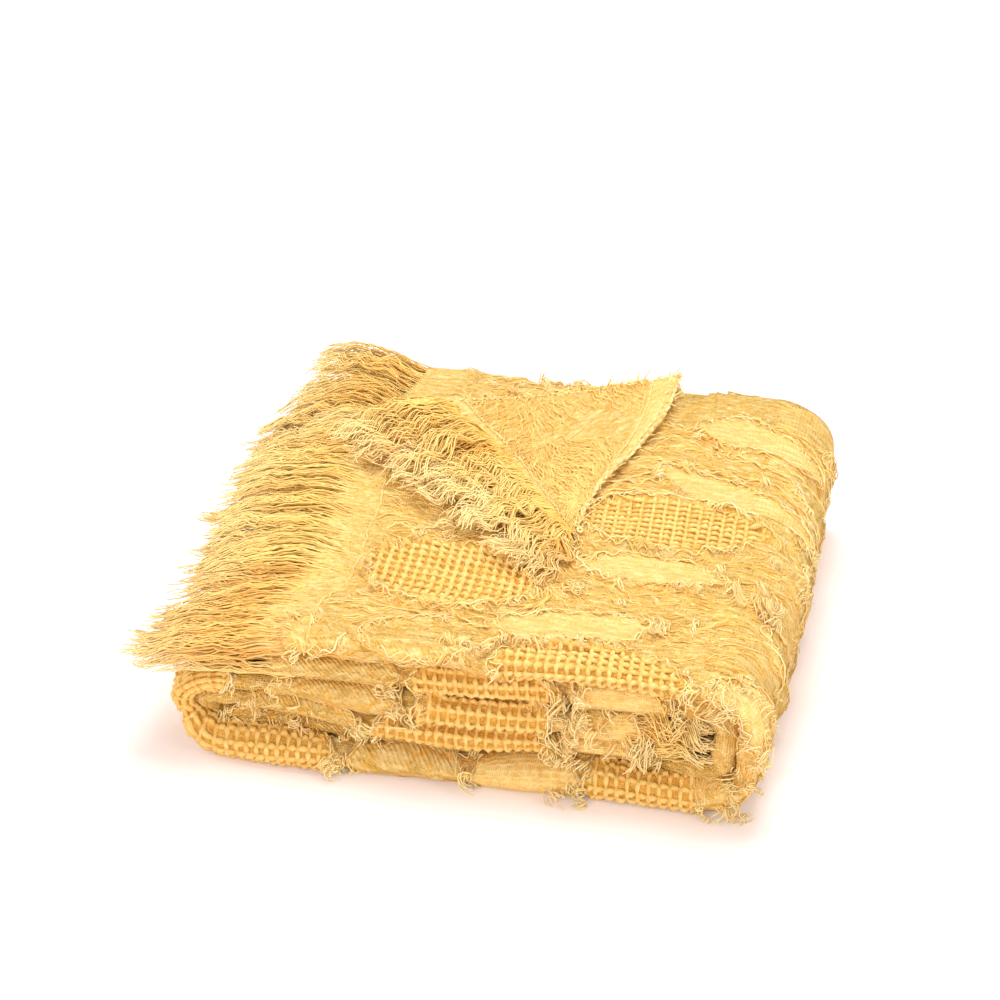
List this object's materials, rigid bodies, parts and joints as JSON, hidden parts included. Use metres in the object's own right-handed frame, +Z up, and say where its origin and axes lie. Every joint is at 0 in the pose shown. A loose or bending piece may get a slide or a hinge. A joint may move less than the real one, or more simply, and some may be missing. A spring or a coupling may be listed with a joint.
{
  "type": "throw blanket",
  "caption": "Folded woven cotton throw with fringed ends, waffle leaves edged in cut floats, and one corner turned forward over the stack.",
  "frame": {"origin": "middle of the folded stack's underside, on the surface that it rests on", "axes": "+X from the fringed end towards the folded end, +Y from the front rolls to the back selvedges, +Z up"},
  "size_m": [0.4432, 0.3869, 0.1344],
  "materials": {
    "jacquard_cotton": "garment-washed cotton, matt and crinkled",
    "fringe_yarn": "loose cotton warp yarn, matt"
  },
  "bodies": {
    "root": {"throw_cloth": "jacquard_cotton", "outer_end_fringe": "fringe_yarn", "inner_end_fringe": "fringe_yarn", "turned_corner_fringe": "fringe_yarn"}
  },
  "joints": []
}
